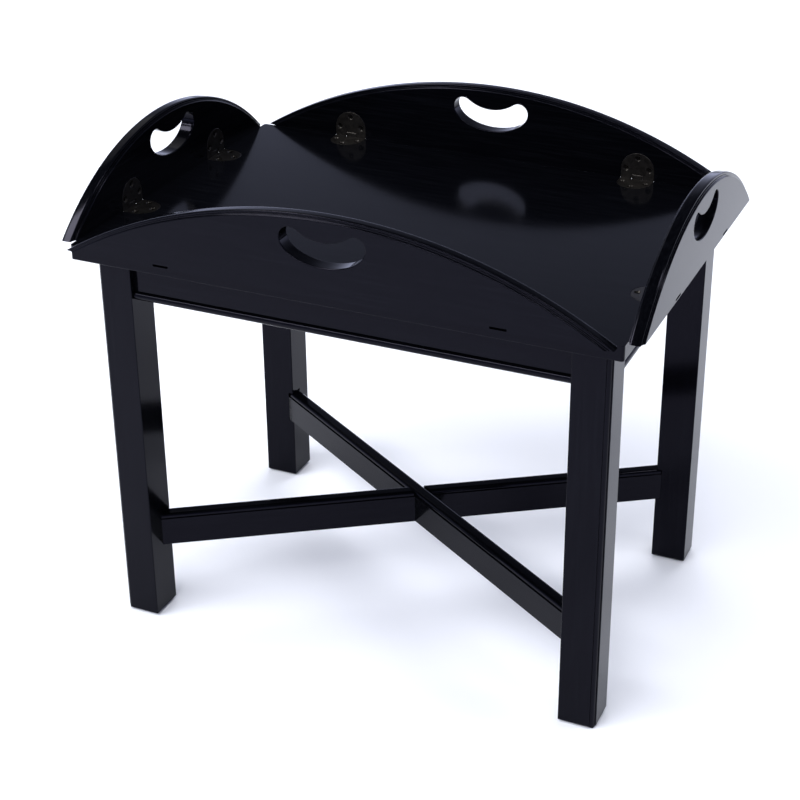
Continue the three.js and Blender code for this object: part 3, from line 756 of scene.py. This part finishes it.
def hinge_half():
    """One half of a hinge: an arched plate with its notch, drilled, with two lugs and the pin."""
    plate = object_from(prism(plate_outline(0, PLATE_SETBACK), -PLATE_THICKNESS, 0), "hinge_half")

    def away_from_fold(a, b):
        return min(a.z, b.z) > -PLATE_THICKNESS / 2 and max(a.y, b.y) > PLATE_SETBACK + PLATE_ARRIS

    ease(plate, PLATE_ARRIS, away_from_fold, PLATE_ARRIS_STEPS)
    low = (-NOTCH_HALF, -OVERRUN, -PLATE_THICKNESS - OVERRUN)
    boolean(plate, block(low, (NOTCH_HALF, NOTCH_REACH, OVERRUN)))
    for u, w in SCREW_PLACES:
        boolean(plate, countersink(u, w))
    for hand in (-1, 1):
        sides = sorted((hand * NOTCH_HALF, hand * (NOTCH_HALF + LUG_THICKNESS)))
        lug = block(
            (sides[0], PIN_REACH - LUG_REACH, -LUG_DEPTH),
            (sides[1], PIN_REACH + LUG_REACH, -PLATE_THICKNESS / 2),
        )
        boolean(plate, lug, "UNION")
    reach = NOTCH_HALF + LUG_THICKNESS / 2
    pin = lathe([(0, -reach), (PIN_RADIUS, -reach), (PIN_RADIUS, reach), (0, reach)], PIN_STEPS)
    along = Matrix.Translation((0, PIN_REACH, -PIN_DEPTH)) @ Matrix.Rotation(math.pi / 2, 4, "Y")
    boolean(plate, moved(pin, along), "UNION")
    clean(plate)
    mark_countersinks(plate)
    return plate


def mark_countersinks(plate):
    """Gives the walls of the screw holes the second material, a darker bronze as painted shade in the holes.
    """
    for face in plate.data.polygons:
        near = [math.dist(face.center[:2], place) for place in SCREW_PLACES]
        face.material_index = int(min(near) < COUNTERSINK_RADIUS and abs(face.normal.z) < LEVEL_NORMAL)


def screw_head(sunk, length):
    """A countersunk wood screw with a cross recess, its head up and its face at minus sunk."""
    slope = COUNTERSINK_RADIUS - SCREW_HOLE_RADIUS
    radius = COUNTERSINK_RADIUS - sunk
    shank = SCREW_HOLE_RADIUS - 2 * MERGE_DISTANCE
    core = shank * SCREW_CORE_SHARE
    tip = shank * SCREW_TIP_SHARE
    profile = [
        (0, -length),
        (tip, -length + 2 * tip),
        (core, -length + shank * SCREW_TAPER_SHARE),
        (core, -slope - sunk),
        (radius - SCREW_RIM, -sunk - SCREW_RIM),
        (radius - SCREW_RIM / 2, -sunk - SCREW_RIM / 3),
        (radius - SCREW_RIM, -sunk),
        (0, -sunk),
    ]
    screw = object_from(lathe(profile, SCREW_STEPS), "screw")
    blade_half = SCREW_HOLE_RADIUS * CROSS_WIDTH_SHARE
    blade_reach = radius * CROSS_REACH_SHARE
    blade_depth = slope * CROSS_DEPTH_SHARE
    for turn in (0, math.pi / 2):
        blade = block((-blade_reach, -blade_half, -sunk - blade_depth), (blade_reach, blade_half, OVERRUN))
        boolean(screw, moved(blade, Matrix.Rotation(turn, 4, "Z")))
    return clean(screw)


def joined(items, name):
    """Several objects as one mesh, each at its own matrix."""
    mesh = bmesh.new()
    for data, matrix in items:
        part = bmesh.new()
        part.from_mesh(data)
        bmesh.ops.transform(part, matrix=matrix, verts=part.verts)
        holder = bpy.data.meshes.new("holder")
        part.to_mesh(holder)
        part.free()
        mesh.from_mesh(holder)
        bpy.data.meshes.remove(holder)
    return object_from(mesh, name)


def hinge_link():
    """The cranked link between the two pins, its pins along X, its far hole a slot."""
    far = LINK_LENGTH + LINK_TRAVEL
    quarter = math.pi / 2
    eighth = math.pi / 4
    tangent = math.sqrt(2) * LINK_EYE_RADIUS
    outline = [
        *arc(0, 0, LINK_EYE_RADIUS, eighth, 5 * eighth, LINK_NEAR_STEPS),
        (-tangent - LINK_FLOOR, LINK_FLOOR),
        (far + tangent + LINK_FLOOR, LINK_FLOOR),
        *arc(far, 0, LINK_EYE_RADIUS, -eighth, 2 * eighth, LINK_FAR_STEPS),
        *arc(LINK_LENGTH, 0, LINK_EYE_RADIUS, 2 * eighth, 3 * eighth, LINK_TOP_STEPS),
        (PIN_REACH, LINK_FLOOR + LINK_NECK),
    ]
    link = object_from(prism(outline, -LINK_HALF_WIDTH, LINK_HALF_WIDTH), "link")
    hole = PIN_RADIUS + PIN_CLEARANCE
    reach = LINK_HALF_WIDTH + OVERRUN
    eye = arc(0, 0, hole, 0, 4 * quarter, LINK_EYE_STEPS)[:-1]
    near_end = arc(LINK_LENGTH, 0, hole, quarter, 3 * quarter, LINK_SLOT_STEPS)
    far_end = arc(far, 0, hole, -quarter, quarter, LINK_SLOT_STEPS)
    boolean(link, prism(eye, -reach, reach))
    boolean(link, prism(near_end + far_end, -reach, reach))
    clean(link)

    def at_an_end(a, b):
        return abs(a.z + b.z) > 2 * LINK_HALF_WIDTH - LINK_ARRIS

    ease(link, LINK_ARRIS, at_an_end, LINK_ARRIS_STEPS)
    return link


def make_hinges():
    half = hinge_half()
    link = hinge_link()
    single = screw_head(SCREW_SUNK, SCREW_LENGTH)
    screws = joined(
        [
            (single.data, Matrix.Translation((u, w, 0)) @ Matrix.Rotation(turn, 4, "Z"))
            for (u, w), turn in zip(SCREW_PLACES, SCREW_TURNS)
        ],
        "screws",
    )
    for name, side in SIDES.items():
        offset = HINGE_OFFSETS[side["kind"]]
        for index, end in enumerate(side["ends"]):
            place = (2 * index - 1) * offset
            hinge = "hinge_" + name + "_" + end
            halves = (
                ("tray", side_matrix(side) @ Matrix.Translation((place, 0, 0)), "tray"),
                ("leaf", upright_matrix(side) @ Matrix.Translation((-place, 0, LEAF_PROUD)), "leaf_" + name),
            )
            for word, matrix, body in halves:
                node = hinge + "_" + word + "_plate"
                plate = copied(half, node)
                plate.data.transform(matrix)
                # The second material is painted shade on the walls of the screw holes
                finish_piece(
                    plate, node + "_bronze", body, LOOKS["bronze"], [node], LOOKS["recess"]
                )
                fixings = copied(screws, node)
                fixings.data.transform(matrix)
                finish_piece(fixings, hinge + "_" + word + "_screws", body, LOOKS["screw"])
            seat = Matrix.Translation((place, PIN_REACH, -PIN_DEPTH))
            lean = Matrix.Rotation(-math.pi / 2, 4, "Y") @ Matrix.Rotation(-math.pi / 4, 4, "Z")
            arm = copied(link, hinge)
            arm.data.transform(side_matrix(side) @ seat @ lean)
            node = hinge + "_link"
            finish_piece(arm, node + "_bronze", "links_" + name, LOOKS["bronze"], [node])
    for spare in (half, link, single, screws):
        bpy.data.meshes.remove(spare.data)


# Leaves

def rim_section(radius, thickness):
    """The moulded rim as distances from the disc's middle and N, from one face to the other."""
    ledge = radius - RIM_BAND_RISE
    wall = radius - RIM_STEP_DEPTH
    soft = RIM_SOFTENING
    quarter = math.pi / 2
    half = (thickness + LEAF_PROUD) / 2
    step = half - RIM_STEP_WIDTH
    band = step - RIM_FILLET_WIDTH
    near = [
        *arc(wall - RIM_STEP_ARRIS, half - RIM_STEP_ARRIS, RIM_STEP_ARRIS, quarter, 0, RIM_ARRIS_STEPS),
        (wall, step + soft / 2),
        (wall + soft / 2, step),
        *arc(ledge - soft, step - soft, soft, quarter, 0, RIM_SOFT_STEPS),
    ]
    crown = []
    for i in range(RIM_CROWN_STEPS + 1):
        angle = quarter * (1 - 2 * i / RIM_CROWN_STEPS)
        rise = max(0, math.cos(angle)) ** RIM_BAND_SQUARENESS
        across = math.copysign(abs(math.sin(angle)) ** RIM_BAND_SQUARENESS, angle)
        crown.append((ledge + RIM_BAND_RISE * rise, band * across))
    far = [(r, -n) for r, n in reversed(near)]
    return [(r, LEAF_PROUD - half - n) for r, n in near + crown + far]


def leaf_blank(half_chord, rise, thickness):
    """The leaf without its cuts: a segment of a disc, closed at its foot just above the tray."""
    radius = (half_chord ** 2 + rise ** 2) / (2 * rise)
    middle = rise - radius
    mesh = bmesh.new()
    rows = []
    for distance, n in reversed(rim_section(radius, thickness)):
        reach = math.acos((LEAF_GAP - middle) / distance)
        turns = [reach * (1 - 2 * i / RIM_STEPS) for i in range(RIM_STEPS + 1)]
        rows.append(
            [mesh.verts.new((distance * math.sin(a), middle + distance * math.cos(a), n)) for a in turns]
        )
    for lower, upper in zip(rows, rows[1:]):
        for i in range(RIM_STEPS):
            mesh.faces.new((lower[i], lower[i + 1], upper[i + 1], upper[i]))
    mesh.faces.new(rows[0])
    mesh.faces.new(rows[-1][::-1])
    mesh.faces.new([row[0] for row in rows] + [row[-1] for row in reversed(rows)])
    bmesh.ops.recalc_face_normals(mesh, faces=mesh.faces)
    return object_from(mesh, "leaf")


def handle_outline():
    """The kidney: half an ellipse below, a lobe at each end and a hollow arc between the lobes."""
    lobe_x = HANDLE_HALF_WIDTH - HANDLE_LOBE_RADIUS
    hollow = (lobe_x ** 2 - HANDLE_LOBE_RADIUS ** 2) / (2 * HANDLE_LOBE_RADIUS)
    lean = math.atan2(hollow, lobe_x)
    lower = []
    for i in range(HANDLE_BOWL_STEPS + 1):
        angle = math.pi + math.pi * i / HANDLE_BOWL_STEPS
        lower.append((HANDLE_HALF_WIDTH * math.cos(angle), HANDLE_HEIGHT + HANDLE_DEPTH * math.sin(angle)))
    right = arc(lobe_x, HANDLE_HEIGHT, HANDLE_LOBE_RADIUS, 0, math.pi - lean, HANDLE_LOBE_STEPS)
    top = arc(0, HANDLE_HEIGHT + hollow, hollow, -lean, lean - math.pi, HANDLE_HOLLOW_STEPS)
    left = arc(-lobe_x, HANDLE_HEIGHT, HANDLE_LOBE_RADIUS, lean, math.pi, HANDLE_LOBE_STEPS)
    return lower + right[1:] + top[1:] + left[1:-1]


def make_leaves():
    for name, side in SIDES.items():
        low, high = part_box("leaf_" + name)
        is_long = side["kind"] == "long"
        half_chord = tray_high.x - LEAF_END_INSET if is_long else tray_high.y - LEAF_END_INSET
        thickness = (high.y - low.y) if is_long else (high.x - low.x)
        leaf = leaf_blank(half_chord, high.z - TABLE_HEIGHT, thickness)
        boolean(leaf, prism(handle_outline(), -thickness - OVERRUN, OVERRUN))
        clean(leaf)

        def on_slot(a, b):
            reach = HANDLE_HALF_WIDTH + OVERRUN
            low_v = HANDLE_HEIGHT - HANDLE_DEPTH - OVERRUN
            high_v = HANDLE_HEIGHT + HANDLE_LOBE_RADIUS + OVERRUN
            flat = abs(a.z - b.z) < SKIN and (a.z > -SKIN or a.z < -thickness + SKIN)
            return flat and all(abs(p.x) < reach and low_v < p.y < high_v for p in (a, b))

        ease(leaf, HANDLE_ARRIS, on_slot, HANDLE_ARRIS_STEPS)
        for hand in (-1, 1):
            shift = Matrix.Translation((hand * HINGE_OFFSETS[side["kind"]], 0, LEAF_PROUD))
            for space in (*hinge_spaces(), mortise_mouth(thickness)):
                boolean(leaf, moved(space, shift))
        clean(leaf)
        leaf.data.transform(upright_matrix(side))
        finish_piece(
            leaf, "leaf_wood_" + name, "leaf_" + name, LOOKS[side["kind"]], ["leaf_" + name]
        )


# Tray

def tray_blank():
    """The board with round corners and round arrises, ring by ring from its underside."""
    quarter = math.pi / 2
    soft, crisp = TRAY_BOTTOM_ARRIS, TRAY_TOP_ARRIS
    low = arc(soft, tray_low.z + soft, soft, -quarter, -2 * quarter, TRAY_ARRIS_STEPS)
    high = arc(crisp, tray_high.z - crisp, crisp, 2 * quarter, quarter, TRAY_ARRIS_STEPS)
    mesh = bmesh.new()
    loops = []
    for inset, z in low + high:
        radius = TRAY_CORNER_RADIUS - inset
        x, y = tray_high.x - TRAY_CORNER_RADIUS, tray_high.y - TRAY_CORNER_RADIUS
        outline = []
        for turn, (sx, sy) in enumerate(((1, 1), (-1, 1), (-1, -1), (1, -1))):
            start, end = turn * quarter, (turn + 1) * quarter
            outline += arc(sx * x, sy * y, radius, start, end, TRAY_CORNER_STEPS)
        loops.append([mesh.verts.new((px, py, z)) for px, py in outline])
    for lower, upper in zip(loops, loops[1:]):
        for i in range(len(lower)):
            j = (i + 1) % len(lower)
            mesh.faces.new((lower[i], lower[j], upper[j], upper[i]))
    mesh.faces.new(loops[0][::-1])
    mesh.faces.new(loops[-1])
    bmesh.ops.recalc_face_normals(mesh, faces=mesh.faces)
    return object_from(mesh, "tray")


def make_tray():
    tray = tray_blank()
    for side in SIDES.values():
        for hand in (-1, 1):
            shift = Matrix.Translation((hand * HINGE_OFFSETS[side["kind"]], 0, 0))
            for space in hinge_spaces():
                boolean(tray, moved(space, side_matrix(side) @ shift))
    clean(tray)
    finish_piece(tray, "tray_wood", "tray", LOOKS["long"], ["tray_board"])


# Battens and corner blocks, with the screws that hold them

def dressed_copy(node, name, body, material, width):
    """A frame solid's own shape with its arrises eased."""
    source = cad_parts[node]
    item = bpy.data.objects.new(name, source.data.copy())
    bpy.context.scene.collection.objects.link(item)
    clean(item)
    ease(item, width, everywhere, BLOCK_ARRIS_STEPS)
    return finish_piece(item, name, body, material, [node])


def make_hidden_wood():
    up = screw_head(0, SCREW_LENGTH)
    flip = Matrix.Rotation(math.pi, 4, "X")
    for name in ("front", "back"):
        node = "tray_batten_" + name
        dressed_copy(node, node + "_wood", "tray", LOOKS["wood"], BLOCK_ARRIS)
        low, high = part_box(node)
        middle_y = (low.y + high.y) / 2
        length = high.x - low.x
        places = [(share * length, middle_y, low.z - MERGE_DISTANCE) for share in BATTEN_SCREW_SHARES]
        fixings = joined([(up.data, Matrix.Translation(place) @ flip) for place in places], "screws")
        finish_piece(fixings, node + "_screws", "tray", LOOKS["screw"])
    for name, corner in CORNERS.items():
        node = "corner_block_" + name
        dressed_copy(node, node + "_wood", "stand", LOOKS["wood"], BLOCK_ARRIS)
        low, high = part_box(node)
        places = []
        for share_x, share_y in BLOCK_SCREW_SHARES:
            place = from_corner(corner, LEG_SIDE + share_x * BLOCK_REACH, LEG_SIDE + share_y * BLOCK_REACH)
            places.append((*place, low.z - MERGE_DISTANCE))
        fixings = joined([(up.data, Matrix.Translation(place) @ flip) for place in places], "screws")
        finish_piece(fixings, node + "_screws", "stand", LOOKS["screw"])
    bpy.data.meshes.remove(up.data)


# Studio

def make_floor():
    corners = [(x * FLOOR_HALF, y * FLOOR_HALF, 0) for x, y in ((-1, -1), (1, -1), (1, 1), (-1, 1))]
    mesh = bmesh.new()
    mesh.faces.new([mesh.verts.new(corner) for corner in corners])
    floor = object_from(mesh, "studio_floor")
    material, _, shader = new_material("studio_floor")
    shader.inputs["Base Color"].default_value = FLOOR_COLOUR
    shader.inputs["Roughness"].default_value = 1
    shader.inputs["Specular IOR Level"].default_value = 0
    floor.data.materials.append(material)


def area_light(name, place, target, size, power, seen):
    """A soft box. Seen says whether it shows in reflections."""
    data = bpy.data.lights.new(name, "AREA")
    data.shape = "RECTANGLE"
    data.size, data.size_y = size
    data.energy = power
    light = bpy.data.objects.new(name, data)
    light.location = place
    light.rotation_mode = "QUATERNION"
    light.rotation_quaternion = (Vector(target) - Vector(place)).to_track_quat("-Z", "Y")
    light.visible_glossy = seen
    bpy.context.scene.collection.objects.link(light)


def make_world():
    world = bpy.data.worlds.new("studio")
    bpy.context.scene.world = world
    world.use_nodes = True
    tree = world.node_tree
    place = tree.nodes.new("ShaderNodeTexCoord")
    split = tree.nodes.new("ShaderNodeSeparateXYZ")
    ramp = tree.nodes.new("ShaderNodeValToRGB")
    stops = ramp.color_ramp.elements
    while len(stops) < len(ROOM_STOPS):
        stops.new(0.5)
    for stop, (sine, light) in zip(stops, ROOM_STOPS):
        stop.position = sine
        stop.color = (*(light * tint for tint in ROOM_TINT), 1)
    tree.links.new(place.outputs["Generated"], split.inputs["Vector"])
    tree.links.new(split.outputs["Z"], ramp.inputs["Fac"])
    tree.links.new(ramp.outputs["Color"], tree.nodes["Background"].inputs["Color"])


def make_studio():
    make_floor()
    make_world()
    for light in LIGHTS:
        area_light(*light)
    bpy.context.scene.view_settings.view_transform = "Standard"


def make_camera():
    data = bpy.data.cameras.new("camera")
    data.sensor_width = CAMERA_SENSOR
    data.lens = CAMERA_LENS
    data.shift_x, data.shift_y = CAMERA_SHIFT
    camera = bpy.data.objects.new("camera", data)
    turn = Matrix.Rotation(-CAMERA_YAW, 4, "Z") @ Matrix.Rotation(math.pi / 2 - CAMERA_PITCH, 4, "X")
    camera.matrix_world = Matrix.Translation(CAMERA_PLACE) @ turn @ Matrix.Rotation(CAMERA_ROLL, 4, "Z")
    bpy.context.scene.collection.objects.link(camera)
    bpy.context.scene.camera = camera


make_camera()
make_studio()
make_legs()
make_aprons()
make_stretchers()
make_hinges()
make_leaves()
make_tray()
make_hidden_wood()
